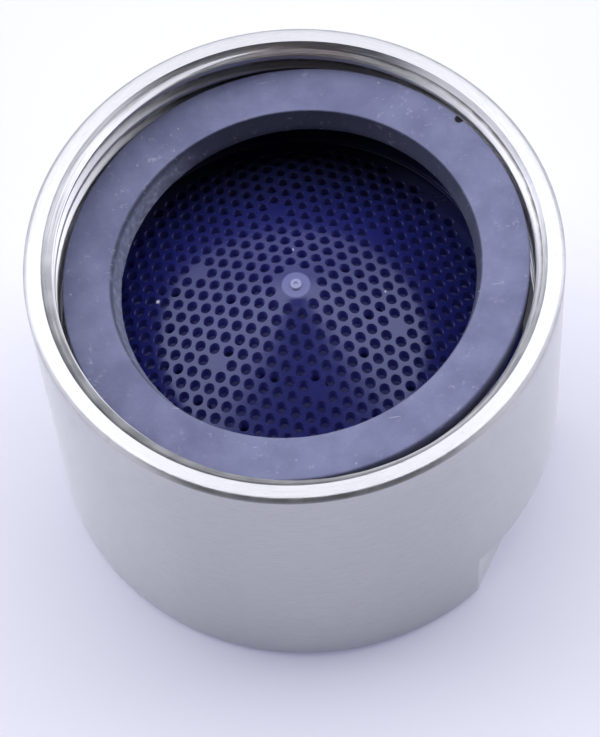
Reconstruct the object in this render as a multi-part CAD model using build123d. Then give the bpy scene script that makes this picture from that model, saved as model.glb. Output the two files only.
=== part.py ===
from build123d import *

import os
from math import cos, radians, sin, sqrt, tan

# Tap aerator: a threaded metal housing with a rubber washer, a cone strainer and a mixing insert
# Millimetres, +Z up along the thread axis; the origin is the centre of the outlet end, on which it stands

# Housing, across the axis
thread_minor_d = 21.15
thread_height = 0.425
thread_wall = 1.0
rim_chamfer = 0.21
rim_face_width = 0.52
lead_in_slope = 22.0
shoulder_width = 0.6
outlet_lip_width = 1.1
relief_extra = 0.1

# Housing, along the axis
housing_height = 17.2
seat_depth = 7.4
outlet_lip_height = 1.4
bottom_chamfer = 0.3

# Spanner flats at the outlet end
spanner_flat_depth = 1.0
spanner_flat_height = 3.75
spanner_azimuth = -29.0

# Clearances
insertion_clearance = 0.25
fit_clearance = 0.1
washer_clearance = 0.11

# Sealing washer, standing askew in the thread
washer_width = 2.165
washer_hole_taper = 0.28
washer_thickness = 1.2
washer_depth = 1.3
washer_tilt = 5.0
washer_uphill_azimuth = -11.0

# Insert body
flange_thickness = 1.3
spigot_length = 0.9
air_channel = 0.7
air_gap = 0.5
collar_wall = 0.75
collar_recess = 0.3
collar_step_clearance = 1.0
collar_step_taper = 1.0
grid_ledge_width = 0.6
grid_ledge_height = 0.6
air_port_count = 6
air_port_width = 3.0
air_port_height = 2.0

# Jet plate
jet_plate_thickness = 1.1
jet_plate_sink = 0.05
jet_plate_ledge = 1.3
jet_hole_d = 1.0
jet_hole_sides = 6
jet_edge_margin = 0.675
inner_jet_count = 9
outer_jet_count = 18
jet_ring_spacing = 2.8

# Strainer
brim_thickness = 0.8
brim_width = 1.025
brim_lip = 0.24
screen_sides = 24
screen_slope = 18.4
screen_wall = 0.6
screen_hole_d = 1.03
screen_hole_pitch = 1.364
screen_hole_sides = 6
screen_hole_margin = 0.9
screen_turn = -23.25
gate_boss_d = 1.3
gate_nub_d = 0.54
gate_nub_height = 0.12

# Grids below the air ports
grid_count = 2
grid_rim = 0.6
breaker_bar = 0.5
breaker_pitch = 2.0
breaker_floor_share = 0.3
honeycomb_wall = 0.35
honeycomb_pitch_share = 0.31
honeycomb_sides = 6

# Radii that follow from the thread
thread_minor_r = thread_minor_d / 2
housing_r = thread_minor_r + thread_height + thread_wall
rim_inner_r = housing_r - rim_chamfer - rim_face_width
relief_r = thread_minor_r + thread_height + relief_extra
flange_r = thread_minor_r - insertion_clearance
bore_r = flange_r - shoulder_width
outlet_r = bore_r - outlet_lip_width
spigot_r = bore_r - fit_clearance
sleeve_r = bore_r - air_channel
collar_r = outlet_r - air_gap
insert_inner_r = collar_r - collar_wall
grid_ledge_r = insert_inner_r - grid_ledge_width
jet_pocket_r = insert_inner_r + jet_plate_ledge
outer_jet_ring_r = insert_inner_r - jet_edge_margin - jet_hole_d / 2
inner_jet_ring_r = outer_jet_ring_r - jet_ring_spacing
grid_r = insert_inner_r - fit_clearance
brim_r = flange_r - fit_clearance
screen_r = brim_r - brim_width
gate_boss_r = gate_boss_d / 2

# Heights that follow from the seat
shoulder_z = housing_height - seat_depth
flange_top_z = shoulder_z + flange_thickness
brim_top_z = flange_top_z + brim_thickness
thread_end_z = brim_top_z + fit_clearance
lead_in_z = housing_height - (rim_inner_r - thread_minor_r) * tan(radians(lead_in_slope))
screen_foot_z = brim_top_z - brim_lip
gate_boss_z = screen_foot_z + (screen_r - gate_boss_r) * tan(radians(screen_slope))
jet_seat_z = flange_top_z - jet_plate_sink - jet_plate_thickness
air_port_top_z = shoulder_z - spigot_length
stack_top_z = air_port_top_z - air_port_height
grid_ledge_z = collar_recess + grid_ledge_height
grid_height = (stack_top_z - grid_ledge_z) / grid_count
breaker_z = grid_ledge_z + grid_height
breaker_thickness = breaker_floor_share * grid_height

# Placing of a solid that stands on its base
ON_BASE = (Align.CENTER, Align.CENTER, Align.MIN)


def turned(points):
    """Solid of revolution about Z from a closed outline of (radius, height) points."""
    outline = Polyline(*[(radius, 0, height) for radius, height in points], close=True)
    return revolve(make_face(outline), Axis.Z)


def triangular_places(pitch, reach, turn=0.0):
    """Centres of a triangular lattice about the axis, out to the given reach."""
    row_step = pitch * sqrt(3) / 2
    rows = int(reach / row_step)
    places = []
    for row in range(-rows, rows + 1):
        shift = pitch / 2 if row % 2 else 0.0
        columns = int(reach / pitch) + 1
        for column in range(-columns, columns + 1):
            place = Vector(column * pitch + shift, row * row_step)
            if place.length <= reach:
                places.append(place.rotate(Axis.Z, turn))
    return places


def square_places(pitch, reach):
    """Centres of a square lattice of openings about the axis, out to the given reach."""
    count = int(reach / pitch) + 1
    steps = [pitch * (step + 0.5) for step in range(-count, count)]
    places = [Vector(x, y) for x in steps for y in steps]
    return [place for place in places if place.length <= reach]


def openings(sketch, places, bottom_z, height):
    """Upright prisms of one sketch, one at each place."""
    prism = extrude(sketch, amount=height)
    return [Pos(place.X, place.Y, bottom_z) * prism for place in places]


def frustum(top_r, top_z, base_r, base_z, sides):
    """Flat-sided cone frustum with its corners on two level circles."""
    turns = [radians(360 * corner / sides) for corner in range(sides)]
    top = [Vector(top_r * cos(turn), top_r * sin(turn), top_z) for turn in turns]
    base = [Vector(base_r * cos(turn), base_r * sin(turn), base_z) for turn in turns]
    faces = [Face(Wire.make_polygon(top)), Face(Wire.make_polygon(base))]
    for corner in range(sides):
        outline = [base[corner - 1], base[corner], top[corner], top[corner - 1]]
        faces.append(Face(Wire.make_polygon(outline)))
    return Solid(Shell(faces))


def make_housing():
    """Turned sleeve: outlet lip, bore, shoulder, relief groove, thread core and chamfered rim."""
    body = turned([
        (outlet_r, 0),
        (housing_r - bottom_chamfer, 0),
        (housing_r, bottom_chamfer),
        (housing_r, housing_height - rim_chamfer),
        (housing_r - rim_chamfer, housing_height),
        (rim_inner_r, housing_height),
        (thread_minor_r, lead_in_z),
        (thread_minor_r, thread_end_z + thread_height),
        (relief_r, thread_end_z),
        (relief_r, shoulder_z),
        (bore_r, shoulder_z),
        (bore_r, outlet_lip_height),
        (outlet_r, outlet_lip_height),
    ])
    # A pair of flats for a spanner, cut square to their azimuth
    flat_block = Box(
        housing_r,
        2 * housing_r,
        spanner_flat_height,
        align=(Align.MIN, Align.CENTER, Align.MIN),
    )
    for side in (0, 180):
        turn = Rot(0, 0, spanner_azimuth + side)
        body -= turn * Pos(housing_r - spanner_flat_depth, 0, 0) * flat_block
    return body


def make_washer():
    """Flat rubber ring with a tapered hole, tilted where it is caught in the thread."""
    outer_r = thread_minor_r - washer_clearance
    hole_r = outer_r - washer_width
    ring = turned([
        (hole_r, 0),
        (hole_r - washer_hole_taper, -washer_thickness),
        (outer_r, -washer_thickness),
        (outer_r, 0),
    ])
    lean = Rot(0, 0, washer_uphill_azimuth) * Rot(0, -washer_tilt, 0)
    return Pos(0, 0, housing_height - washer_depth) * lean * ring


def make_insert_body():
    """Moulded sleeve: flange, spigot, sleeve with air ports, outlet collar with a ledge for the grids."""
    step_z = outlet_lip_height + collar_step_clearance
    body = turned([
        (flange_r, flange_top_z),
        (flange_r, shoulder_z),
        (spigot_r, shoulder_z),
        (spigot_r, air_port_top_z),
        (sleeve_r, air_port_top_z),
        (sleeve_r, step_z + collar_step_taper),
        (collar_r, step_z),
        (collar_r, collar_recess),
        (grid_ledge_r, collar_recess),
        (grid_ledge_r, grid_ledge_z),
        (insert_inner_r, grid_ledge_z),
        (insert_inner_r, jet_seat_z),
        (jet_pocket_r, jet_seat_z),
        (jet_pocket_r, flange_top_z),
    ])
    port = Box(
        housing_r,
        air_port_width,
        air_port_height,
        align=(Align.MIN, Align.CENTER, Align.MAX),
    )
    for index in range(air_port_count):
        body -= Rot(0, 0, index * 360 / air_port_count) * Pos(0, 0, air_port_top_z) * port
    return body


def make_jet_plate():
    """Disc with two rings of jet holes, lying in the pocket of the insert's flange."""
    plate = Cylinder(jet_pocket_r - fit_clearance, jet_plate_thickness, align=ON_BASE)
    hole = extrude(RegularPolygon(jet_hole_d / 2, jet_hole_sides), amount=jet_plate_thickness)
    plate -= PolarLocations(inner_jet_ring_r, inner_jet_count) * hole
    plate -= PolarLocations(outer_jet_ring_r, outer_jet_count) * hole
    return Pos(0, 0, jet_seat_z) * plate


def make_strainer():
    """Cone screen in a flat brim, with upright holes in a triangular lattice and a gate boss at its tip.

    The cone and its holes have flat sides, which keeps their mesh small.
    """
    slope = radians(screen_slope)
    drop = screen_wall / cos(slope)
    under_r = screen_r + (screen_foot_z - drop - flange_top_z) / tan(slope)
    brim = Pos(0, 0, flange_top_z) * Cylinder(brim_r, brim_thickness, align=ON_BASE)
    brim -= Pos(0, 0, screen_foot_z) * Cylinder(screen_r, brim_lip, align=ON_BASE)
    outside = frustum(gate_boss_r, gate_boss_z, screen_r, screen_foot_z, screen_sides)
    inside = frustum(gate_boss_r, gate_boss_z - drop, under_r, flange_top_z, screen_sides)
    nub = Pos(0, 0, gate_boss_z) * Cylinder(gate_nub_d / 2, gate_nub_height, align=ON_BASE)
    cone = brim + outside + nub - inside
    hole_r = screen_hole_d / 2
    reach = screen_r - hole_r - screen_hole_margin
    places = triangular_places(screen_hole_pitch, reach, screen_turn)
    places = [place for place in places if place.length > gate_boss_r + hole_r]
    corner_turn = screen_turn + 180 / screen_hole_sides
    hole = RegularPolygon(hole_r, screen_hole_sides, rotation=corner_turn)
    return cone - openings(hole, places, flange_top_z, gate_boss_z - flange_top_z)


def make_breaker_grid():
    """Ring with a grid of square openings in its floor, standing on the honeycomb."""
    disc = Cylinder(grid_r, grid_height, align=ON_BASE)
    inner_r = grid_r - grid_rim
    well = Cylinder(inner_r, grid_height, align=ON_BASE)
    disc -= Pos(0, 0, breaker_thickness) * well
    side = breaker_pitch - breaker_bar
    reach = inner_r - side / sqrt(2)
    places = square_places(breaker_pitch, reach)
    disc -= openings(Rectangle(side, side), places, 0, breaker_thickness)
    return Pos(0, 0, breaker_z) * disc


def make_outlet_grid():
    """Honeycomb that straightens the stream, resting on the collar's ledge."""
    disc = Cylinder(grid_r, grid_height, align=ON_BASE)
    honeycomb_pitch = honeycomb_pitch_share * grid_ledge_r
    cell_apothem = (honeycomb_pitch - honeycomb_wall) / 2
    corner_turn = 180 / honeycomb_sides
    cell = RegularPolygon(cell_apothem, honeycomb_sides, major_radius=False, rotation=corner_turn)
    reach = grid_ledge_r - cell_apothem
    places = triangular_places(honeycomb_pitch, reach)
    disc -= openings(cell, places, 0, grid_height)
    return Pos(0, 0, grid_ledge_z) * disc


pieces = {
    "housing": make_housing(),
    "sealing_washer": make_washer(),
    "strainer": make_strainer(),
    "jet_plate": make_jet_plate(),
    "insert_body": make_insert_body(),
    "breaker_grid": make_breaker_grid(),
    "outlet_grid": make_outlet_grid(),
}

os.makedirs("parts", exist_ok=True)
for name, piece in pieces.items():
    export_step(piece, f"parts/{name}.step")
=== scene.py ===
from math import acos, atan2, cos, floor, hypot, pi, radians, sin, sqrt, tan

import bmesh
import bpy
from mathutils import Matrix, Vector, noise
from mathutils.geometry import delaunay_2d_cdt


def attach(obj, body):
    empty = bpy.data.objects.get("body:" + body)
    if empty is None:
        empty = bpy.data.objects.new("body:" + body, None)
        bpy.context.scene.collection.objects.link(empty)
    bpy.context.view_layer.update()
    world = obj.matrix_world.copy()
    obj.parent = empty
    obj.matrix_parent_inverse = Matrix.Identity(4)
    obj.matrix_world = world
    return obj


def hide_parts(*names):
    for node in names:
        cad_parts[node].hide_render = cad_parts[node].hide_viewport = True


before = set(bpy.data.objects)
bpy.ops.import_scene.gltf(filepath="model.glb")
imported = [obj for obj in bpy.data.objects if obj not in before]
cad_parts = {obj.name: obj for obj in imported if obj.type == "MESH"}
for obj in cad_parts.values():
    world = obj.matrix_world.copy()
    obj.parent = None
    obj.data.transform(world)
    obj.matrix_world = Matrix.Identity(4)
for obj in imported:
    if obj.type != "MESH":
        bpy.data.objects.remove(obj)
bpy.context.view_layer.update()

# Tap aerator on its outlet end, threaded mouth up
# Sizes are millimetres and follow the part's source; mouth, washer and strainer have finer forms from the photo
MM = 0.001
FULL_TURN = 2 * pi
RIGHT_ANGLE = pi / 2
EDGE = 0.05
# Distances for cleaning a mesh, in metres
WELD_DISTANCE = 2e-7
THIN_EDGE = 1e-8

# Housing below the rim
HOUSING_R = 12.0
HOUSING_TOP = 17.2
HOUSING_COLUMNS = 300
HOUSING_CREASE = 35.0
RELIEF_R = 11.1
RELIEF_TOP = 12.0
SHOULDER_Z = 9.8
BORE_R = 9.725
OUTLET_R = 8.625
OUTLET_LIP = 1.4
OUTLET_ROUND = 0.1
OUTLET_ROUND_MIDDLE = 0.03
BOTTOM_ROUND = 0.45
BOTTOM_STEPS = 8
WALL_STEPS = 12
FLAT_R = 11.0
FLAT_TOP = 3.75
FLAT_ROWS = (1.2, 2.4, FLAT_TOP)
FLAT_AZIMUTH = -29.0
HALF_FLAT = acos(FLAT_R / HOUSING_R)

# Rim and mouth
RIM_CHAMFER = 0.19
RIM_BLEND = 0.04
RIM_BLEND_IN = 0.012
RIM_BLEND_OUT = 0.004
RIM_INNER_R = 11.2
RIM_INNER_BREAK = 0.01
RIM_STEP = 0.02
RIM_STEP_IN = 0.005
MOUTH_SLOPE = tan(radians(45.0))
LEAD_IN_SLOPE = tan(radians(16.0))
LEAD_IN_STEPS = 12

# Thread, with half of its profile from crest to root: share of the pitch, share of the depth
THREAD_MINOR_R = 10.68
THREAD_MAJOR_R = 11.0
THREAD_PITCH = 1.0
THREAD_TURN = 0.41
THREAD_SPARE_TURNS = 2
THREAD_PROFILE = (
    (0.0, 0.0),
    (0.1, 0.0),
    (0.125, 0.03),
    (0.15, 0.1),
    (0.225, 0.5),
    (0.3, 0.9),
    (0.325, 0.97),
    (0.35, 1.0),
    (0.5, 1.0),
)
LEAD_IN_Z = HOUSING_TOP - RIM_STEP - (RIM_INNER_R - THREAD_MAJOR_R) * MOUTH_SLOPE
THREAD_TOP = LEAD_IN_Z - (THREAD_MAJOR_R - THREAD_MINOR_R) * LEAD_IN_SLOPE
RUN_OUT_Z = RELIEF_TOP + (RELIEF_R - THREAD_MAJOR_R)

# Sealing washer, askew in the thread; its rim lies a little further back than its hole, which is slightly wavy
WASHER_COLUMNS = 288
WASHER_CREASE = 50.0
WASHER_HOLE_R = 8.3
WASHER_TAPER = 0.28
WASHER_OUTER_R = 10.5
WASHER_INSET = 0.06
WASHER_THICKNESS = 1.2
WASHER_ROUND = 0.1
WASHER_ROUND_STEPS = 6
WASHER_FACE_STEPS = 6
WASHER_WALL_STEPS = 4
WASHER_Z = 15.9
WASHER_TILT = 5.0
WASHER_AZIMUTH = -11.0
WASHER_SHIFT = (-0.04, 0.11)
WASHER_SHIFT_R = 9.2
WASHER_SHIFT_FADE = 0.8
WAVE_HEIGHT = 0.018
WAVE_SCALE = (3.0, 3.0, 2.0)
WAVE_R = 9.0
WAVE_FADE = 0.6

# Strainer: cone, brim and gate mark
STRAINER_CREASE = 30.0
SCREEN_R = 9.2
SCREEN_WALL = 0.6
SCREEN_ANGLE = radians(18.4)
SCREEN_SLOPE = tan(SCREEN_ANGLE)
SCREEN_DROP = SCREEN_WALL / cos(SCREEN_ANGLE)
SCREEN_FOOT_Z = 11.66
SCREEN_SIDES = 180
SCREEN_MARGIN = 0.1
FOOT_IN = 0.03
FOOT_UP = 0.01
FOOT_ROUND = 0.05
LIP_ROUND = 0.08
LIP_ROUND_MIDDLE = 0.025
BRIM_R = 10.225
BRIM_TOP = 11.9
BRIM_BOTTOM = 11.1
BOSS_R = 0.65
BOSS_SIDES = 48
BOSS_MARGIN = 0.12
BOSS_EDGE = 0.06
BOSS_RISE = 0.012
BOSS_UNDER_R = 0.3
NUB_R = 0.27
NUB_HEIGHT = 0.12
NUB_EDGE = 0.03
NUB_FOOT = 0.04
DIMPLE_R = 0.1
DIMPLE_FLOOR_R = 0.07
DIMPLE_DEPTH = 0.05

# Strainer: lattice of upright holes, with none at six plain spots round the cone
HOLE_R = 0.24
HOLE_EDGE = 0.015
HOLE_SIDES = 16
HOLE_PITCH = 0.682
HOLE_ROW_STEP = sqrt(3) / 2
HOLE_START = 1.1 * HOLE_PITCH
HOLE_REACH = 8.45
LATTICE_TURN = radians(-23.25)
LATTICE_SPARE = 1.2
LATTICE_STEPS = int(HOLE_REACH / HOLE_PITCH * LATTICE_SPARE) + 1
PLAIN_SPOTS = ((-7, 0), (-7, 7), (0, -7), (0, 7), (7, -7), (7, 0))
PLAIN_R = 0.6 * HOLE_R
PLAIN_SIDES = 6
SHEET_SLACK = 0.999
SHEET_MERGE = 1e-7

# Light tent: the open front leans back with height, and side panels reach forward round it
FRONT_LEAN = 0.37
FRONT_DARK = 0.255
FRONT_LIT = 0.305
PANEL_LEAN = 0.85
PANEL_DARK = -0.12
PANEL_LIT = 0.5
PANEL_LOW_Z = 0.5
PANEL_HIGH_Z = 0.85
PANEL_SHARE = 0.48
SKY_DIM = 0.015
SKY_LOW_Z = 0.0
SKY_HIGH_Z = 0.5
SKY_LOW = 3.75
SKY_HIGH = 2.72
# Light tent: the back is weaker
BACK_TURN = 0.04
BACK_START = 0.3
BACK_END = 0.75
BACK_SHARE = 0.42
SIDE_COLOR = (0.93, 0.93, 1.0, 1)
BACK_COLOR = (0.97, 0.975, 0.985, 1)

# Floor, in metres
FLOOR_HALF = 0.6
FLOOR_NOISE = (60.0, 2.0)
FLOOR_DARK = (0.7, 0.7, 0.712, 1)
FLOOR_LIGHT = (0.72, 0.72, 0.732, 1)
FLOOR_GLOW = (0.1, 0.105, 0.19, 1)

# Camera, fitted to the outlines of rim and base in the photo: pixels, metres and degrees
IMAGE_WIDTH = 600
IMAGE_HEIGHT = 737
CAMERA_FOCAL = 3274.8
CAMERA_DISTANCE = 0.14474
CAMERA_ELEVATION = 60.786
CAMERA_ROLL = -5.18
CAMERA_TARGET_X = 293.565
CAMERA_TARGET_Y = 257.676
CAMERA_TARGET_Z = 0.017
CAMERA_CLIP = 0.005
CAMERA_SENSOR = 36.0


# Mesh helpers


def add_piece(name, vertices, faces, material, crease, inner_faces=(), inner_material=None):
    """Mesh object from millimetre vertices, welded, with smooth faces and sharp edges by angle."""
    mesh = bpy.data.meshes.new(name)
    places = [(x * MM, y * MM, z * MM) for x, y, z in vertices]
    mesh.from_pydata(places, [], [*faces, *inner_faces])
    slots = [0] * len(faces) + [1] * len(inner_faces)
    mesh.polygons.foreach_set("material_index", slots)
    work = bmesh.new()
    work.from_mesh(mesh)
    bmesh.ops.remove_doubles(work, verts=work.verts, dist=WELD_DISTANCE)
    bmesh.ops.dissolve_degenerate(work, edges=work.edges, dist=THIN_EDGE)
    bmesh.ops.recalc_face_normals(work, faces=work.faces)
    work.to_mesh(mesh)
    work.free()
    mesh.polygons.foreach_set("use_smooth", [True] * len(mesh.polygons))
    mesh.set_sharp_from_angle(angle=radians(crease))
    mesh.materials.append(material)
    if inner_material:
        mesh.materials.append(inner_material)
    return link(name, mesh)


def link(name, data):
    """New object of the scene with this data."""
    item = bpy.data.objects.new(name, data)
    bpy.context.scene.collection.objects.link(item)
    return item


def dress(piece, node):
    """The piece stands for a CAD node and rides on the part's one body."""
    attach(piece, "root")
    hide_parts(node)


def grid_faces(rows, columns, first=0, close_columns=True, close_rows=False):
    """Quads between consecutive rows of equal length."""
    faces = []
    for row in range(rows if close_rows else rows - 1):
        start = first + row * columns
        following = first + (row + 1) % rows * columns
        for column in range(columns if close_columns else columns - 1):
            after = (column + 1) % columns
            faces.append((start + column, start + after, following + after, following + column))
    return faces


def circle(r, sides):
    """Corners of a level circle about the axis."""
    turns = [FULL_TURN * side / sides for side in range(sides)]
    return [(r * cos(turn), r * sin(turn)) for turn in turns]


def steps_to(start, end, count):
    """Evenly spaced values after the start, up to the end."""
    return [start + (end - start) * step / count for step in range(1, count + 1)]


def smooth_step(value):
    """0 below 0 and 1 above 1, with a smooth rise between."""
    value = min(max(value, 0.0), 1.0)
    return value * value * (3 - 2 * value)


# Housing, in rows that give a radius and a height for each azimuth


def flat_limit(azimuth):
    """Largest radius that the spanner flats leave at this azimuth."""
    offset = (azimuth - radians(FLAT_AZIMUTH)) % pi
    offset = min(offset, pi - offset)
    return min(HOUSING_R, FLAT_R / cos(offset))


def thread_radius(phase):
    """Radius of the thread at a share of its pitch, 0 at the crest."""
    offset = 0.5 - abs(phase % 1.0 - 0.5)
    for (start, low), (end, high) in zip(THREAD_PROFILE, THREAD_PROFILE[1:]):
        if offset <= end:
            depth = low + (high - low) * (offset - start) / (end - start)
            return THREAD_MINOR_R + (THREAD_MAJOR_R - THREAD_MINOR_R) * depth
    return THREAD_MAJOR_R


def inner_radius(z, azimuth):
    """Inner wall in the thread's reach: thread, lead-in below the rim and run-out to the relief."""
    phase = (z - THREAD_TURN) / THREAD_PITCH - azimuth / FULL_TURN
    lead_in = THREAD_MAJOR_R - (LEAD_IN_Z - z) / LEAD_IN_SLOPE
    run_out = RELIEF_R - (z - RELIEF_TOP)
    return max(thread_radius(phase), lead_in, run_out)


def ring(r, z):
    """Row on a level circle."""
    return lambda azimuth: (r, z)


def flat_ring(inset, z):
    """Level row on the outside where the flats are, drawn in by an inset."""
    return lambda azimuth: (flat_limit(azimuth) - inset, z)


def thread_ring(z):
    """Level row on the inner wall in the thread's reach."""
    return lambda azimuth: (inner_radius(z, azimuth), z)


def helix_ring(phase):
    """Row on the inner wall that climbs with the thread and stays between its ends."""
    def place(azimuth):
        helix_z = THREAD_TURN + THREAD_PITCH * (phase + azimuth / FULL_TURN)
        z = min(max(helix_z, RUN_OUT_Z), THREAD_TOP)
        return inner_radius(z, azimuth), z
    return place


def sweep(rows, azimuths):
    """Vertices of the rows, azimuth by azimuth."""
    vertices = []
    for row in rows:
        for azimuth in azimuths:
            r, z = row(azimuth)
            vertices.append((r * cos(azimuth), r * sin(azimuth), z))
    return vertices


def housing_azimuths():
    """Even columns, and one at each upright edge of the flats."""
    azimuths = [FULL_TURN * column / HOUSING_COLUMNS for column in range(HOUSING_COLUMNS)]
    for side in (0.0, pi):
        for end in (-HALF_FLAT, HALF_FLAT):
            azimuths.append((radians(FLAT_AZIMUTH) + side + end) % FULL_TURN)
    return sorted(azimuths)


def housing_rows():
    """From the relief groove down the bore, round the outlet, up the outside and over the rim to the thread."""
    rows = [
        ring(RELIEF_R, RELIEF_TOP),
        ring(RELIEF_R, SHOULDER_Z + EDGE),
        ring(RELIEF_R - EDGE, SHOULDER_Z),
        ring(BORE_R + EDGE, SHOULDER_Z),
        ring(BORE_R, SHOULDER_Z - EDGE),
        ring(BORE_R, OUTLET_LIP),
        ring(OUTLET_R + EDGE, OUTLET_LIP),
        ring(OUTLET_R, OUTLET_LIP - EDGE),
        ring(OUTLET_R, OUTLET_ROUND),
        ring(OUTLET_R + OUTLET_ROUND_MIDDLE, OUTLET_ROUND_MIDDLE),
        ring(OUTLET_R + OUTLET_ROUND, 0.0),
        ring((OUTLET_R + FLAT_R) / 2, 0.0),
    ]
    for turn in [0.0, *steps_to(0.0, RIGHT_ANGLE, BOTTOM_STEPS)]:
        rows.append(flat_ring(BOTTOM_ROUND * (1 - sin(turn)), BOTTOM_ROUND * (1 - cos(turn))))
    rows += [flat_ring(0.0, z) for z in FLAT_ROWS]
    wall_foot = FLAT_TOP + EDGE
    wall_top = HOUSING_TOP - RIM_CHAMFER - RIM_BLEND
    rows += [ring(HOUSING_R, z) for z in (FLAT_TOP, wall_foot, *steps_to(wall_foot, wall_top, WALL_STEPS))]
    rows += [
        ring(HOUSING_R - RIM_BLEND_IN, HOUSING_TOP - RIM_CHAMFER + RIM_BLEND_OUT),
        ring(HOUSING_R - RIM_CHAMFER + RIM_BLEND_OUT, HOUSING_TOP - RIM_BLEND_IN),
        ring(HOUSING_R - RIM_CHAMFER - RIM_BLEND, HOUSING_TOP),
        ring((HOUSING_R + RIM_INNER_R) / 2, HOUSING_TOP),
        ring(RIM_INNER_R + RIM_INNER_BREAK, HOUSING_TOP),
        ring(RIM_INNER_R, HOUSING_TOP - RIM_INNER_BREAK),
        ring(RIM_INNER_R - RIM_STEP_IN, HOUSING_TOP - RIM_STEP),
        ring(THREAD_MAJOR_R, LEAD_IN_Z),
    ]
    return rows + [thread_ring(z) for z in steps_to(LEAD_IN_Z, THREAD_TOP, LEAD_IN_STEPS)]


def thread_rows():
    """From above the thread's upper end to below its lower end."""
    half = [share for share, _ in THREAD_PROFILE]
    one_pitch = half[:-1] + [1 - share for share in reversed(half[1:])]
    lowest = floor((RUN_OUT_Z - THREAD_TURN) / THREAD_PITCH) - THREAD_SPARE_TURNS
    highest = floor((THREAD_TOP - THREAD_TURN) / THREAD_PITCH) + THREAD_SPARE_TURNS
    phases = [turn + share for turn in range(lowest, highest) for share in one_pitch]
    return [helix_ring(phase) for phase in reversed(phases)]


def make_housing(material):
    azimuths = housing_azimuths()
    rows = housing_rows()
    vertices = sweep(rows, azimuths)
    faces = grid_faces(len(rows), len(azimuths))
    # The thread's seam column is repeated and welded
    rows = thread_rows()
    seam = azimuths + [azimuths[0] + FULL_TURN]
    faces += grid_faces(len(rows), len(seam), len(vertices), close_columns=False)
    vertices += sweep(rows, seam)
    # Run-out from the thread to the relief groove
    rows = [ring(THREAD_MAJOR_R, RUN_OUT_Z), ring(RELIEF_R, RELIEF_TOP)]
    faces += grid_faces(len(rows), len(azimuths), len(vertices))
    vertices += sweep(rows, azimuths)
    return add_piece("housing_turned", vertices, faces, material, HOUSING_CREASE)


# Sealing washer


def washer_profile():
    """Closed outline of (radius, height) points, from the lower outer corner up, in and down the hole."""
    profile = []

    def add_corner(r, z, start):
        for turn in [0.0, *steps_to(0.0, RIGHT_ANGLE, WASHER_ROUND_STEPS)]:
            profile.append((r + WASHER_ROUND * cos(start + turn), z + WASHER_ROUND * sin(start + turn)))

    face_out = WASHER_OUTER_R - WASHER_ROUND
    face_in = WASHER_HOLE_R + WASHER_ROUND
    low_z = WASHER_ROUND - WASHER_THICKNESS
    add_corner(face_out - WASHER_INSET, low_z, -RIGHT_ANGLE)
    add_corner(face_out, -WASHER_ROUND, 0.0)
    profile += [(r, 0.0) for r in steps_to(face_out, face_in, WASHER_FACE_STEPS)[:-1]]
    add_corner(face_in, -WASHER_ROUND, RIGHT_ANGLE)
    for share in steps_to(0.0, 1.0, WASHER_WALL_STEPS)[:-1]:
        wall_z = -WASHER_ROUND - (WASHER_THICKNESS - 2 * WASHER_ROUND) * share
        profile.append((WASHER_HOLE_R - WASHER_TAPER * share, wall_z))
    add_corner(face_in - WASHER_TAPER, low_z, pi)
    return profile


def make_washer(material):
    turn = Matrix.Rotation(radians(WASHER_AZIMUTH), 4, "Z")
    lean = turn @ Matrix.Rotation(radians(-WASHER_TILT), 4, "Y")
    lift = Vector((0, 0, WASHER_Z))
    scale_x, scale_y, scale_z = WAVE_SCALE
    shift_x, shift_y = WASHER_SHIFT
    profile = washer_profile()
    vertices = []
    for r, z in profile:
        near_hole = smooth_step((WAVE_R - r) / WAVE_FADE)
        near_rim = smooth_step((r - WASHER_SHIFT_R) / WASHER_SHIFT_FADE)
        for across_x, across_y in circle(1.0, WASHER_COLUMNS):
            wave_place = Vector((scale_x * r * across_x, scale_y * r * across_y, scale_z * z))
            waved = r + WAVE_HEIGHT * near_hole * noise.noise(wave_place)
            x = waved * across_x + shift_x * near_rim
            y = waved * across_y + shift_y * near_rim
            point = lean @ Vector((x, y, z)) + lift
            vertices.append(point[:])
    faces = grid_faces(len(profile), WASHER_COLUMNS, close_rows=True)
    return add_piece("sealing_washer_rubber", vertices, faces, material, WASHER_CREASE)


# Strainer


def screen_top(r):
    """Height of the cone's upper side."""
    return SCREEN_FOOT_Z + (SCREEN_R - r) * SCREEN_SLOPE


def screen_under(r):
    """Height of the cone's underside, level at the brim."""
    return max(screen_top(r) - SCREEN_DROP, BRIM_BOTTOM)


def lattice_point(i, j):
    """Place of a hole by its steps along the two lattice directions."""
    x = HOLE_PITCH * (i + j / 2)
    y = HOLE_PITCH * j * HOLE_ROW_STEP
    turn_cos, turn_sin = cos(LATTICE_TURN), sin(LATTICE_TURN)
    return x * turn_cos - y * turn_sin, x * turn_sin + y * turn_cos


def screen_holes():
    """Lattice steps of the holes, clear of the gate boss, the brim and the plain spots."""
    steps = range(-LATTICE_STEPS, LATTICE_STEPS + 1)
    holes = []
    for i in steps:
        for j in steps:
            distance = hypot(*lattice_point(i, j))
            if HOLE_START < distance <= HOLE_REACH and (i, j) not in PLAIN_SPOTS:
                holes.append((i, j))
    return holes


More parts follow.
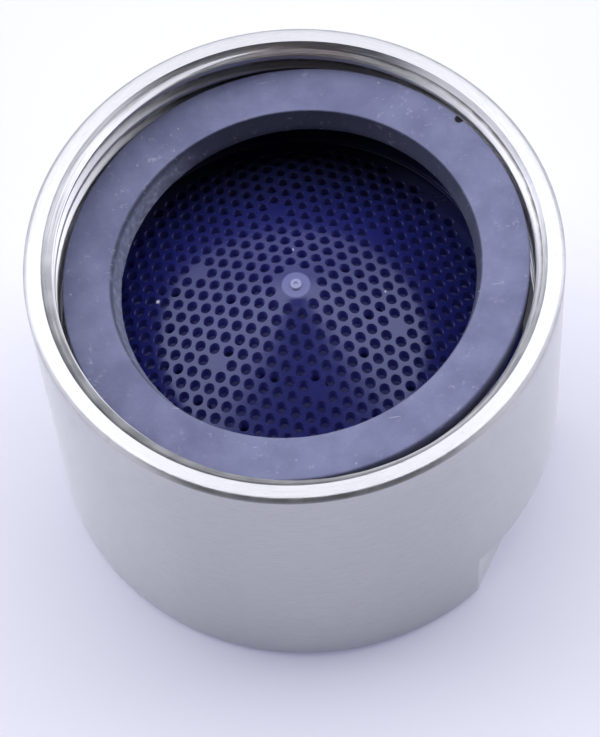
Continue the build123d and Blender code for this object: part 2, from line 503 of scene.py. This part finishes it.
def in_hole(x, y, holes):
    """Whether a point lies inside the outline of one of the holes round it."""
    along = (x * cos(LATTICE_TURN) + y * sin(LATTICE_TURN)) / HOLE_PITCH
    across = (-x * sin(LATTICE_TURN) + y * cos(LATTICE_TURN)) / (HOLE_PITCH * HOLE_ROW_STEP)
    wedge = FULL_TURN / HOLE_SIDES
    apothem = (HOLE_R + HOLE_EDGE) * cos(wedge / 2)
    low_j = floor(across)
    for j in (low_j, low_j + 1):
        low_i = floor(along - j / 2)
        for i in (low_i, low_i + 1):
            if (i, j) not in holes:
                continue
            hole_x, hole_y = lattice_point(i, j)
            offset = atan2(y - hole_y, x - hole_x) % wedge - wedge / 2
            if hypot(x - hole_x, y - hole_y) * cos(offset) < apothem:
                return True
    return False


def screen_sheet(holes, inner_r, outer_r):
    """Points and triangles of the flat perforated sheet, seen from above."""
    flat_points = []
    flat_edges = []

    def add_loop(center_x, center_y, r, sides):
        first = len(flat_points)
        for side, (x, y) in enumerate(circle(r, sides)):
            flat_points.append(Vector((center_x + x, center_y + y)))
            flat_edges.append((first + side, first + (side + 1) % sides))

    add_loop(0, 0, inner_r, BOSS_SIDES)
    add_loop(0, 0, outer_r, SCREEN_SIDES)
    for i, j in holes:
        add_loop(*lattice_point(i, j), HOLE_R + HOLE_EDGE, HOLE_SIDES)
    for i, j in PLAIN_SPOTS:
        center_x, center_y = lattice_point(i, j)
        flat_points.append(Vector((center_x, center_y)))
        for x, y in circle(PLAIN_R, PLAIN_SIDES):
            flat_points.append(Vector((center_x + x, center_y + y)))
    points, _, triangles, _, _, _ = delaunay_2d_cdt(flat_points, flat_edges, [], 0, SHEET_MERGE)

    hole_set = set(holes)
    kept = []
    for triangle in triangles:
        x = sum(points[index].x for index in triangle) / 3
        y = sum(points[index].y for index in triangle) / 3
        if hypot(x, y) > inner_r * SHEET_SLACK and not in_hole(x, y, hole_set):
            kept.append(tuple(triangle))
    return points, kept


def make_strainer(material, inner_material):
    holes = screen_holes()
    inner_r = BOSS_R + BOSS_MARGIN
    outer_r = SCREEN_R - SCREEN_MARGIN
    points, triangles = screen_sheet(holes, inner_r, outer_r)
    # Upper and lower skin of the perforated cone
    vertices = [(point.x, point.y, screen_top(point.length)) for point in points]
    vertices += [(point.x, point.y, screen_under(point.length)) for point in points]
    faces = list(triangles)
    inner_faces = [tuple(len(points) + index for index in reversed(triangle)) for triangle in triangles]

    # Hole walls, with a small chamfer at each end
    wall_rows = (
        (HOLE_R + HOLE_EDGE, screen_top, 0.0),
        (HOLE_R, screen_top, -HOLE_EDGE),
        (HOLE_R, screen_under, HOLE_EDGE),
        (HOLE_R + HOLE_EDGE, screen_under, 0.0),
    )
    for i, j in holes:
        hole_x, hole_y = lattice_point(i, j)
        first = len(vertices)
        for r, skin, shift in wall_rows:
            for x, y in circle(r, HOLE_SIDES):
                distance = hypot(hole_x + x, hole_y + y)
                vertices.append((hole_x + x, hole_y + y, skin(distance) + shift))
        faces += grid_faces(2, HOLE_SIDES, first)
        inner_faces += grid_faces(3, HOLE_SIDES, first + HOLE_SIDES)

    def add_turned(profile, sides, capped=False):
        first = len(vertices)
        for r, z in profile:
            vertices.extend((x, y, z) for x, y in circle(r, sides))
        faces.extend(grid_faces(len(profile), sides, first))
        if capped:
            last = first + (len(profile) - 1) * sides
            faces.append(tuple(range(last, last + sides)))

    # Foot of the cone, lip and brim, back to the underside
    foot_z = screen_top(SCREEN_R)
    add_turned([
        (outer_r, screen_top(outer_r)),
        (SCREEN_R - FOOT_IN, foot_z + FOOT_UP),
        (SCREEN_R, foot_z + FOOT_ROUND),
        (SCREEN_R, BRIM_TOP - LIP_ROUND),
        (SCREEN_R + LIP_ROUND_MIDDLE, BRIM_TOP - LIP_ROUND_MIDDLE),
        (SCREEN_R + LIP_ROUND, BRIM_TOP),
        (BRIM_R - EDGE, BRIM_TOP),
        (BRIM_R, BRIM_TOP - EDGE),
        (BRIM_R, BRIM_BOTTOM + EDGE),
        (BRIM_R - EDGE, BRIM_BOTTOM),
        (outer_r, BRIM_BOTTOM),
    ], SCREEN_SIDES)
    # Gate boss with its dimpled nub, and the plain middle of the underside
    boss_z = screen_top(BOSS_R)
    nub_z = boss_z + NUB_HEIGHT
    add_turned([
        (inner_r, screen_top(inner_r)),
        (BOSS_R, boss_z),
        (BOSS_R - BOSS_EDGE, boss_z + BOSS_RISE),
        (NUB_R + NUB_EDGE, boss_z + BOSS_RISE),
        (NUB_R, boss_z + NUB_FOOT),
        (NUB_R, nub_z - NUB_EDGE),
        (NUB_R - NUB_EDGE, nub_z),
        (DIMPLE_R, nub_z),
        (DIMPLE_FLOOR_R, nub_z - DIMPLE_DEPTH),
    ], BOSS_SIDES, capped=True)
    under_z = boss_z - SCREEN_DROP
    add_turned([
        (inner_r, screen_under(inner_r)),
        (BOSS_R, under_z),
        (BOSS_UNDER_R, under_z),
    ], BOSS_SIDES, capped=True)
    return add_piece(
        "strainer_screen", vertices, faces, material, STRAINER_CREASE, inner_faces, inner_material,
    )


# Materials: colours are linear, places and limits are in millimetres, a noise has its scale in features per
# metre, its detail and its roughness, and a span has the range of a noise and what becomes of it


# Range that most noises fill
SOFT = (0.3, 0.7)


class Nodes:
    """Short way to add nodes to one tree and join them."""

    def __init__(self, tree):
        self.tree = tree

    def put(self, node, key, value):
        """Join a socket to an input of the node, or set a plain value on it."""
        socket = node.inputs[key]
        if isinstance(value, bpy.types.NodeSocket):
            self.tree.links.new(value, socket)
        else:
            socket.default_value = value

    def add(self, kind, values=(), **settings):
        node = self.tree.nodes.new(kind)
        for key, value in settings.items():
            setattr(node, key, value)
        for key, value in dict(values).items():
            self.put(node, key, value)
        return node

    def math(self, operation, first, second=0.0):
        return self.add("ShaderNodeMath", {0: first, 1: second}, operation=operation).outputs[0]

    def plus(self, first, second):
        return self.math("ADD", first, second)

    def times(self, first, *others):
        for other in others:
            first = self.math("MULTIPLY", first, other)
        return first

    def most(self, first, *others):
        for other in others:
            first = self.math("MAXIMUM", first, other)
        return first

    def span(self, value, low, high, to_low=0.0, to_high=1.0, kind="SMOOTHSTEP"):
        """Carry a range of the value over to another range, which it then doesn't leave."""
        values = {0: value, 1: low, 2: high, 3: to_low, 4: to_high}
        return self.add("ShaderNodeMapRange", values, interpolation_type=kind).outputs[0]

    def mix(self, share, first, second):
        node = self.add("ShaderNodeMix", {0: share, 6: first, 7: second}, data_type="RGBA")
        return node.outputs[2]


class Shader(Nodes):
    """Nodes of one material, which knows its place on the part."""

    def __init__(self, name):
        self.material = bpy.data.materials.new(name)
        self.material.use_nodes = True
        super().__init__(self.material.node_tree)
        self.bsdf = self.tree.nodes["Principled BSDF"]
        self.place = self.add("ShaderNodeTexCoord").outputs["Object"]

    def length(self, x, y):
        return self.math("SQRT", self.plus(self.times(x, x), self.times(y, y)))

    def axes(self):
        """Distance from the axis, and the three coordinates."""
        x, y, z = self.add("ShaderNodeSeparateXYZ", {0: self.place}).outputs
        return self.length(x, y), x, y, z

    def rise(self, value, limits, to_low=0.0, to_high=1.0):
        """Smooth change of a length between two limits."""
        low, high = limits
        return self.span(value, low * MM, high * MM, to_low, to_high)

    def above(self, value, limit):
        return self.math("GREATER_THAN", value, limit * MM)

    def below(self, value, limit):
        return self.math("LESS_THAN", value, limit * MM)

    def near(self, place, reach):
        """1 near an upright line, 0 away from it, with a smooth change between the two distances of the reach."""
        _, x, y, _ = self.axes()
        off_x = self.math("SUBTRACT", x, place[0] * MM)
        off_y = self.math("SUBTRACT", y, place[1] * MM)
        return self.rise(self.length(off_x, off_y), reach)

    def mapped(self, vector, scale, rotation=(0.0, 0.0, 0.0)):
        values = {"Vector": vector, "Scale": scale, "Rotation": rotation}
        return self.add("ShaderNodeMapping", values).outputs[0]

    def noise(self, vector, scale, detail, roughness=0.5):
        values = {"Vector": vector, "Scale": scale, "Detail": detail, "Roughness": roughness}
        return self.add("ShaderNodeTexNoise", values).outputs["Fac"]

    def specks(self, scale, size, share):
        """Small round dots: one in some of the cells of a random pattern."""
        cells = self.add("ShaderNodeTexVoronoi", {"Vector": self.place, "Scale": scale})
        chance = self.add("ShaderNodeSeparateColor", {0: cells.outputs["Color"]}).outputs[0]
        dot = self.span(cells.outputs["Distance"], size, size * 0.5)
        return self.times(dot, self.math("GREATER_THAN", chance, 1 - share))

    def bump(self, height, distance):
        values = {"Height": height, "Distance": distance * MM}
        return self.add("ShaderNodeBump", values).outputs["Normal"]

    def set(self, **sockets):
        for key, value in sockets.items():
            self.put(self.bsdf, key.replace("_", " "), value)
        return self.material


NICKEL_DARK = (0.515, 0.52, 0.547, 1)
NICKEL_LIGHT = (0.595, 0.6, 0.627, 1)
NICKEL_ANISOTROPY = 0.9
NICKEL_BRUSH_TURN = 0.25
STREAK_NOISE = (1300.0, 12000.0, 4.0, 0.6)
STREAK_SPAN = (0.32, 0.68)
STREAK_ROUGH = (0.3, 0.38)
STREAK_BUMP = 0.0025
CLOUD_COLOR = (0.5, 0.49, 0.49, 1)
CLOUD_NOISE = (260.0, 3.0)
CLOUD_SHARE = 0.25
DASH_COLOR = (0.36, 0.36, 0.38, 1)
DASH_NOISE = (2400.0, 16000.0, 2.0)
DASH_SPAN = (0.62, 0.72, 0.0, 0.3)
WORN_COLOR = (0.25, 0.25, 0.265, 1)
WORN_R = (11.8, 11.84)
WORN_Z = 16.99
WORN_SHARE = 0.45
MOUTH_R = 11.19
MOUTH_Z = 16.6
LINE_COLOR = (0.2, 0.18, 0.18, 1)
LINE_NOISE = (220.0, 21000.0, 3.0)
LINE_SPAN = (0.5, 0.64, 0.0, 0.55)
LINE_RIGHT_X = (3.0, 8.0)
LINE_RIGHT_SHARE = 0.2
MOUTH_DARK_COLOR = (0.08, 0.08, 0.095, 1)
MOUTH_DARK_NOISE = (700.0, 4.0)
MOUTH_DARK_SPAN = (0.3, 0.7, 0.7, 1.0)
MOUTH_DARK_R = (10.71, 10.76)
MOUTH_DARK_SIDE = (-1.0, -14.8)
MOUTH_DARK_SHARE = 0.8
BROWN_COLOR = (0.33, 0.23, 0.2, 1)
BROWN_PLACE = (1.2, 10.8)
BROWN_REACH = (3.4, 1.0)
BROWN_R = (11.22, 11.16)
BROWN_SHARE = 0.4
ROOT_DARK_COLOR = (0.16, 0.14, 0.13, 1)
ROOT_DARK_NOISE = (900.0, 4.0)
ROOT_DARK_SPAN = (0.35, 0.65, 0.25, 0.85)
ROOT_DARK_R = (10.86, 10.98)
ROOT_DARK_END_R = 11.04
THREADED_LOW_Z = 12.1
ROOT_DARK_TOP_Z = 16.9
ROOT_DARK_ROUGH = 0.2


def nickel():
    """Turned nickel, brushed round the axis, with a worn rim, a brown patch, and darker patches in the mouth and
    the thread's roots.
    """
    s = Shader("brushed_nickel")
    r, x, y, z = s.axes()
    around = s.add("ShaderNodeCombineXYZ", {0: x, 1: y, 2: s.plus(r, z)}).outputs[0]

    def turned_noise(across, along, detail, roughness=0.5):
        """Noise drawn out round the axis and fine along the profile."""
        return s.noise(s.mapped(around, (across, across, along)), 1.0, detail, roughness)

    streaks = s.span(turned_noise(*STREAK_NOISE), *STREAK_SPAN)
    tone = s.mix(streaks, NICKEL_DARK, NICKEL_LIGHT)
    clouds = s.times(s.noise(s.place, *CLOUD_NOISE), CLOUD_SHARE)
    tone = s.mix(clouds, tone, CLOUD_COLOR)
    dashes = s.span(turned_noise(*DASH_NOISE), *DASH_SPAN)
    tone = s.mix(dashes, tone, DASH_COLOR)
    # The rim's outer edge is worn a little darker
    worn = s.times(s.rise(r, WORN_R), s.above(z, WORN_Z), WORN_SHARE)
    tone = s.mix(worn, tone, WORN_COLOR)
    # The mouth inside the rim has turned lines, fewer at the right, and is darkened in near-black patches at the
    # left front
    mouth = s.times(s.below(r, MOUTH_R), s.above(z, MOUTH_Z))
    lines = s.span(turned_noise(*LINE_NOISE), *LINE_SPAN)
    lines = s.times(lines, s.rise(x, LINE_RIGHT_X, 1.0, LINE_RIGHT_SHARE))
    tone = s.mix(s.times(mouth, lines), tone, LINE_COLOR)
    overlay = s.rise(s.plus(x, y), MOUTH_DARK_SIDE, 0.0, MOUTH_DARK_SHARE)
    overlay = s.times(overlay, s.span(s.noise(s.place, *MOUTH_DARK_NOISE), *MOUTH_DARK_SPAN))
    overlay = s.times(mouth, s.rise(r, MOUTH_DARK_R), overlay)
    tone = s.mix(overlay, tone, MOUTH_DARK_COLOR)
    # A brown patch lies at the back of mouth and thread, and the thread's roots are darker and rougher in patches
    threaded = s.above(z, THREADED_LOW_Z)
    brown = s.times(s.near(BROWN_PLACE, BROWN_REACH), s.rise(r, BROWN_R, 0.0, BROWN_SHARE), threaded)
    tone = s.mix(brown, tone, BROWN_COLOR)
    roots = s.times(s.rise(r, ROOT_DARK_R), s.below(r, ROOT_DARK_END_R), threaded, s.below(z, ROOT_DARK_TOP_Z))
    root_dark = s.times(roots, s.span(s.noise(s.place, *ROOT_DARK_NOISE), *ROOT_DARK_SPAN))
    tone = s.mix(root_dark, tone, ROOT_DARK_COLOR)
    rough = s.plus(s.span(streaks, 0.0, 1.0, *STREAK_ROUGH), s.times(root_dark, ROOT_DARK_ROUGH))
    tangent = s.add("ShaderNodeTangent", direction_type="RADIAL", axis="Z").outputs[0]
    return s.set(
        Base_Color=tone, Metallic=1.0, Roughness=rough, Normal=s.bump(streaks, STREAK_BUMP),
        Anisotropic=NICKEL_ANISOTROPY, Anisotropic_Rotation=NICKEL_BRUSH_TURN, Tangent=tangent,
    )


RUBBER_DARK = (0.145, 0.155, 0.265, 1)
RUBBER_LIGHT = (0.203, 0.216, 0.348, 1)
RUBBER_SPECULAR = 0.1
MOTTLE_NOISE = (420.0, 5.0, 0.6)
RUBBER_GRAIN_NOISE = (6500.0, 3.0)
RUBBER_ROUGH = (0.55, 0.7)
RUBBER_BUMP = 0.008
CUT_SHADE_COLOR = (0.03, 0.033, 0.055, 1)
CUT_R = (8.38, 8.31)
CUT_SHADE_SHARE = 0.75
CUT_DUST_AND_LIGHT_COLOR = (0.37, 0.4, 0.56, 1)
CUT_DUST_AND_LIGHT_NOISE = (2600.0, 3.0, 0.6)
CUT_DUST_AND_LIGHT_SPAN = (0.35, 0.75, 0.3, 0.62)
CUT_DUST_AND_LIGHT_X = (-3.5, -6.0)
CUT_DUST_AND_LIGHT_R = (8.26, 8.14)
CUT_DUST_AND_LIGHT_TOP_SHARE = 0.25
DUST_COLOR = (0.42, 0.43, 0.55, 1)
PATCH_NOISE = (300.0, 2.0)
PATCH_SPAN = (0.42, 0.62)
CRUMB_NOISE = (2600.0, 5.0, 0.75)
CRUMB_SPAN = (0.57, 0.7)
CRUMB_SHARES = (0.15, 0.55)
FIBRE_SCALE = (900.0, 6000.0, 900.0)
FIBRE_TURN = (0.0, 0.0, 0.6)
FIBRE_NOISE = (1.0, 3.0)
FIBRE_SPAN = (0.7, 0.76, 0.0, 0.5)
DUST_DOTS = (1500.0, 0.11, 0.18)
DUST_DOT_SHARE = 0.55
EDGE_BREAK_SHADE_COLOR = (0.01, 0.01, 0.015, 1)
EDGE_BREAK_SHADE_PLACE = (8.03, 6.68)
EDGE_BREAK_SHADE_REACH = (0.26, 0.16)


def rubber():
    """Matte slate-blue rubber with soft mottling and dust, with painted shade on the hole's wall and at one spot
    of the outer edge.
    """
    s = Shader("washer_rubber")
    r, x, _, _ = s.axes()
    grain = s.noise(s.place, *RUBBER_GRAIN_NOISE)
    mottle = s.span(s.noise(s.place, *MOTTLE_NOISE), *SOFT)
    tone = s.mix(mottle, RUBBER_DARK, RUBBER_LIGHT)
    # The cut wall of the hole is painted darker than the dusty faces, which is painted shade in the hole; a paler
    # film on its left, thicker below, is partly dust and partly painted light on the side that faces the light
    wall = s.rise(r, CUT_R)
    tone = s.mix(s.times(wall, CUT_SHADE_SHARE), tone, CUT_SHADE_COLOR)
    overlay = s.span(s.noise(s.place, *CUT_DUST_AND_LIGHT_NOISE), *CUT_DUST_AND_LIGHT_SPAN)
    overlay = s.times(wall, s.rise(x, CUT_DUST_AND_LIGHT_X), overlay, s.rise(r, CUT_DUST_AND_LIGHT_R, CUT_DUST_AND_LIGHT_TOP_SHARE, 1.0))
    tone = s.mix(overlay, tone, CUT_DUST_AND_LIGHT_COLOR)
    # Dust: ragged crumbs in patches, short fibres and a few dots
    patches = s.span(s.noise(s.place, *PATCH_NOISE), *PATCH_SPAN)
    crumbs = s.span(s.noise(s.place, *CRUMB_NOISE), *CRUMB_SPAN)
    crumbs = s.times(crumbs, s.span(patches, 0.0, 1.0, *CRUMB_SHARES))
    slant = s.mapped(s.place, FIBRE_SCALE, FIBRE_TURN)
    fibres = s.span(s.noise(slant, *FIBRE_NOISE), *FIBRE_SPAN)
    dots = s.times(s.specks(*DUST_DOTS), DUST_DOT_SHARE)
    tone = s.mix(s.most(crumbs, fibres, dots), tone, DUST_COLOR)
    # One black spot at the outer edge: painted shade of a small break in that edge
    tone = s.mix(s.near(EDGE_BREAK_SHADE_PLACE, EDGE_BREAK_SHADE_REACH), tone, EDGE_BREAK_SHADE_COLOR)
    return s.set(
        Base_Color=tone, Roughness=s.span(grain, *SOFT, *RUBBER_ROUGH), Normal=s.bump(grain, RUBBER_BUMP),
        Specular_IOR_Level=RUBBER_SPECULAR,
    )


VIOLET_DARK = (0.009, 0.0112, 0.1, 1)
VIOLET_LIGHT = (0.0144, 0.0169, 0.131, 1)
VIOLET_CLOUD_NOISE = (500.0, 3.0)
VIOLET_GRAIN_NOISE = (5200.0, 2.0)
VIOLET_ROUGH = (0.14, 0.18)
VIOLET_BUMP = 0.001
VIOLET_SPECULAR = 0.66
VIOLET_SPECULAR_TINT = (0.74, 0.79, 1.0, 1)
LIME_COLOR = (0.75, 0.75, 0.82, 1)
LIME_DOTS = (1500.0, 0.1, 0.03)
LIME_PLACES = ((-0.039, 2.074), (-6.323, 0.81))
LIME_REACH = (0.12, 0.04)
LIME_SHARE = 0.8
LIME_ROUGH = 0.3
GATE_LOW_Z = 14.2
BOSS_COLOR = (0.15, 0.16, 0.36, 1)
BOSS_COLOR_R = (0.68, 0.6)
BOSS_SHARE = 0.6
NUB_HIGHLIGHT_COLOR = (0.42, 0.43, 0.62, 1)
NUB_HIGHLIGHT_R = (0.31, 0.27)
NUB_HIGHLIGHT_SHARE = 0.45
BACK_SHADE_COLOR = (0.002, 0.003, 0.006, 1)
BACK_SHADE_NOISE = (600.0, 4.0)
BACK_SHADE_SPAN = (0.3, 0.7, 0.8, 1.0)
BACK_SHADE_Y = (3.0, 8.5)
BACK_SHADE_SHARE = 0.92
BACK_SHADE_ROUGH = 0.35
INSIDE_GLOW_DARK = (0.12, 0.128, 0.425, 1)
INSIDE_GLOW_LIGHT = (0.145, 0.155, 0.48, 1)
INSIDE_SHADE_COLOR = (0.004, 0.005, 0.01, 1)
INSIDE_ROUGH = (0.3, 0.4)


def painted_back_shade(s):
    """Share of the painted shade that darkens the strainer's back part, in patches."""
    _, _, y, _ = s.axes()
    patches = s.span(s.noise(s.place, *BACK_SHADE_NOISE), *BACK_SHADE_SPAN)
    return s.times(s.rise(y, BACK_SHADE_Y, 0.0, BACK_SHADE_SHARE), patches)


def violet():
    """Glossy moulded violet-blue plastic with a few crumbs of lime, and painted shade on its back part."""
    s = Shader("violet_plastic")
    r, _, _, z = s.axes()
    grain = s.noise(s.place, *VIOLET_GRAIN_NOISE)
    tone = s.mix(s.noise(s.place, *VIOLET_CLOUD_NOISE), VIOLET_DARK, VIOLET_LIGHT)
    crumbs = s.most(s.specks(*LIME_DOTS), *[s.near(place, LIME_REACH) for place in LIME_PLACES])
    tone = s.mix(s.times(crumbs, LIME_SHARE), tone, LIME_COLOR)
    # The gate boss is paler, and its nub is painted paler still, which is a painted highlight
    gate = s.above(z, GATE_LOW_Z)
    tone = s.mix(s.times(s.rise(r, BOSS_COLOR_R), gate, BOSS_SHARE), tone, BOSS_COLOR)
    tone = s.mix(s.times(s.rise(r, NUB_HIGHLIGHT_R), gate, NUB_HIGHLIGHT_SHARE), tone, NUB_HIGHLIGHT_COLOR)
    # Painted shade: the back part is darkened in patches, and is rougher there
    overlay = painted_back_shade(s)
    tone = s.mix(overlay, tone, BACK_SHADE_COLOR)
    rough = s.plus(s.span(grain, *SOFT, *VIOLET_ROUGH), s.times(crumbs, LIME_ROUGH))
    rough = s.plus(rough, s.times(overlay, BACK_SHADE_ROUGH))
    return s.set(
        Base_Color=tone, Roughness=rough, Normal=s.bump(grain, VIOLET_BUMP),
        Specular_IOR_Level=VIOLET_SPECULAR, Specular_Tint=VIOLET_SPECULAR_TINT,
    )


def violet_inside():
    """The same plastic, painted much paler on hole walls and underside: painted light that stands in for light
    from its upper side seeping through.
    """
    s = Shader("violet_plastic_inside")
    grain = s.noise(s.place, *VIOLET_GRAIN_NOISE)
    # Painted light: much paler than the upper side, for light seeping through the plastic
    tone = s.mix(s.noise(s.place, *VIOLET_CLOUD_NOISE), INSIDE_GLOW_DARK, INSIDE_GLOW_LIGHT)
    # Painted shade on the back part, as on the upper side
    tone = s.mix(painted_back_shade(s), tone, INSIDE_SHADE_COLOR)
    rough = s.span(grain, *SOFT, *INSIDE_ROUGH)
    return s.set(Base_Color=tone, Roughness=rough, Normal=s.bump(grain, VIOLET_BUMP))


MOULDED_CLOUD_NOISE = (350.0, 4.0)
MOULDED_GRAIN_NOISE = (4800.0, 2.0)
MOULDED_ROUGH = (0.4, 0.52)
MOULDED_BUMP = 0.004
WHITE_LIGHT = (0.86, 0.86, 0.84, 1)
WHITE_DARK = (0.78, 0.78, 0.75, 1)
GREY_LIGHT = (0.58, 0.59, 0.61, 1)
GREY_DARK = (0.5, 0.51, 0.53, 1)


def moulded(name, light, dark):
    """Satin moulded plastic."""
    s = Shader(name)
    grain = s.noise(s.place, *MOULDED_GRAIN_NOISE)
    tone = s.mix(s.noise(s.place, *MOULDED_CLOUD_NOISE), dark, light)
    rough = s.span(grain, *SOFT, *MOULDED_ROUGH)
    return s.set(Base_Color=tone, Roughness=rough, Normal=s.bump(grain, MOULDED_BUMP))


nickel_material = nickel()
rubber_material = rubber()
violet_material = violet()
inside_material = violet_inside()
white_material = moulded("white_plastic", WHITE_LIGHT, WHITE_DARK)
grey_material = moulded("grey_plastic", GREY_LIGHT, GREY_DARK)

dress(make_housing(nickel_material), "housing")
dress(make_washer(rubber_material), "sealing_washer")
dress(make_strainer(violet_material, inside_material), "strainer")

# The hidden pieces are shown as their CAD meshes
for node, material in (
    ("jet_plate", inside_material),
    ("insert_body", white_material),
    ("breaker_grid", grey_material),
    ("outlet_grid", grey_material),
):
    cad_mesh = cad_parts[node].data
    cad_mesh.materials.clear()
    cad_mesh.materials.append(material)


# Stage: floor, world and camera


def make_floor():
    """Pale floor with a faint glow of its own for the camera and for reflections."""
    mesh = bpy.data.meshes.new("floor")
    corners = [(-1, -1), (1, -1), (1, 1), (-1, 1)]
    mesh.from_pydata([(x * FLOOR_HALF, y * FLOOR_HALF, 0) for x, y in corners], [], [(0, 1, 2, 3)])
    s = Shader("floor_white")
    tone = s.mix(s.noise(s.place, *FLOOR_NOISE), FLOOR_DARK, FLOOR_LIGHT)
    rays = s.add("ShaderNodeLightPath").outputs
    seen = s.most(rays["Is Camera Ray"], rays["Is Glossy Ray"], rays["Is Transmission Ray"])
    mesh.materials.append(s.set(
        Base_Color=tone, Roughness=0.8, Specular_IOR_Level=0.2,
        Emission_Color=FLOOR_GLOW, Emission_Strength=seen,
    ))
    link("floor", mesh)


def make_world():
    """Light tent: bright above, at the sides and at the back, dim in front, where the photographer is."""
    world = bpy.data.worlds.new("studio")
    world.use_nodes = True
    bpy.context.scene.world = world
    n = Nodes(world.node_tree)
    direction = n.add("ShaderNodeTexCoord").outputs["Generated"]
    x, y, z = n.add("ShaderNodeSeparateXYZ", {0: direction}).outputs
    depth = n.plus(y, n.times(z, FRONT_LEAN))
    lit = n.span(depth, FRONT_DARK, FRONT_LIT, SKY_DIM, 1.0)
    # The side panels reach forward, dimmer there
    aside = n.plus(n.math("ABSOLUTE", x), n.times(y, PANEL_LEAN))
    panel = n.span(aside, PANEL_DARK, PANEL_LIT, 0.0, PANEL_SHARE)
    lit = n.most(lit, n.times(panel, n.span(z, PANEL_HIGH_Z, PANEL_LOW_Z)))
    level = n.span(z, SKY_LOW_Z, SKY_HIGH_Z, SKY_LOW, SKY_HIGH)
    # The back is weaker and less blue
    depth = n.plus(y, n.times(x, BACK_TURN))
    back = n.span(depth, BACK_START, BACK_END, kind="LINEAR")
    weaker = n.span(back, 0.0, 1.0, 1.0, BACK_SHARE, kind="LINEAR")
    background = world.node_tree.nodes["Background"]
    n.put(background, "Strength", n.times(lit, level, weaker))
    n.put(background, "Color", n.mix(back, SIDE_COLOR, BACK_COLOR))


def make_camera():
    """Camera that looks at the rim's middle, with the photo's roll and framing."""
    elevation = radians(CAMERA_ELEVATION)
    roll = radians(CAMERA_ROLL)
    place = Vector((0, -CAMERA_DISTANCE * cos(elevation), CAMERA_DISTANCE * sin(elevation)))
    forward = -place.normalized()
    right = forward.cross(Vector((0, 0, 1))).normalized()
    upward = right.cross(forward)
    rolled = Matrix(((cos(roll), sin(roll), 0), (-sin(roll), cos(roll), 0), (0, 0, 1)))
    # The target lies off the middle of the image, so the camera is panned away from it
    pan_x = (CAMERA_TARGET_X - IMAGE_WIDTH / 2) / CAMERA_FOCAL
    pan_y = (IMAGE_HEIGHT / 2 - CAMERA_TARGET_Y) / CAMERA_FOCAL
    pan = Vector((0, 0, 1)).rotation_difference(Vector((pan_x, pan_y, 1)).normalized()).to_matrix()
    axes = pan @ (rolled @ Matrix((right, upward, forward)))
    camera = bpy.data.cameras.new("camera")
    camera.sensor_fit = "VERTICAL"
    camera.sensor_height = CAMERA_SENSOR
    camera.lens = CAMERA_FOCAL * CAMERA_SENSOR / IMAGE_HEIGHT
    camera.clip_start = CAMERA_CLIP
    camera_object = link("camera", camera)
    turn = Matrix((axes[0], axes[1], -axes[2])).transposed()
    target = Vector((0, 0, CAMERA_TARGET_Z))
    camera_object.matrix_world = Matrix.Translation(place + target) @ turn.to_4x4()
    bpy.context.scene.camera = camera_object


make_floor()
make_world()
make_camera()

bpy.context.scene.view_settings.view_transform = "Standard"
